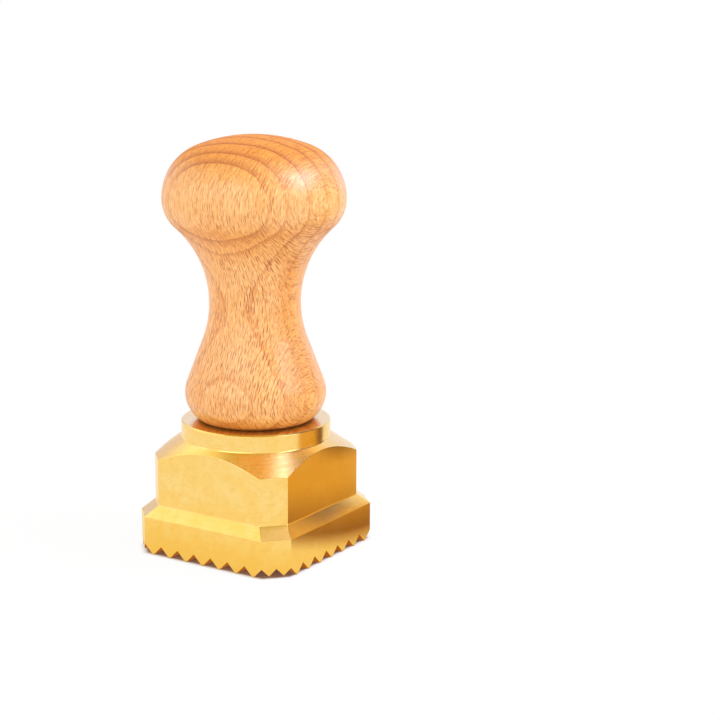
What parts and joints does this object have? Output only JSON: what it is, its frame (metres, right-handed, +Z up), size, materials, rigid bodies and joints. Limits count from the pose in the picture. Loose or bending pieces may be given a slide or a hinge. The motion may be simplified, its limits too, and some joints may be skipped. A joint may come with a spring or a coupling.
{
  "type": "ravioli stamp",
  "caption": "Square brass ravioli stamp with a zigzag toothed cutting rim, a round filling pocket underneath, a turned collar and a turned wooden knob handle.",
  "frame": {"origin": "centre of the square that the tooth tips stand on, on the surface the stamp rests on", "axes": "+Z up along the handle; -Y and +X towards the two sides of the square that the picture shows, left and right"},
  "size_m": [0.045, 0.045, 0.1015],
  "materials": {
    "brass": "satin, finely machined",
    "beech": "oiled satin beech with flecked grain",
    "steel": "zinc plated"
  },
  "bodies": {
    "root": {"die": "brass", "handle": "beech", "stud": "steel"}
  },
  "joints": []
}
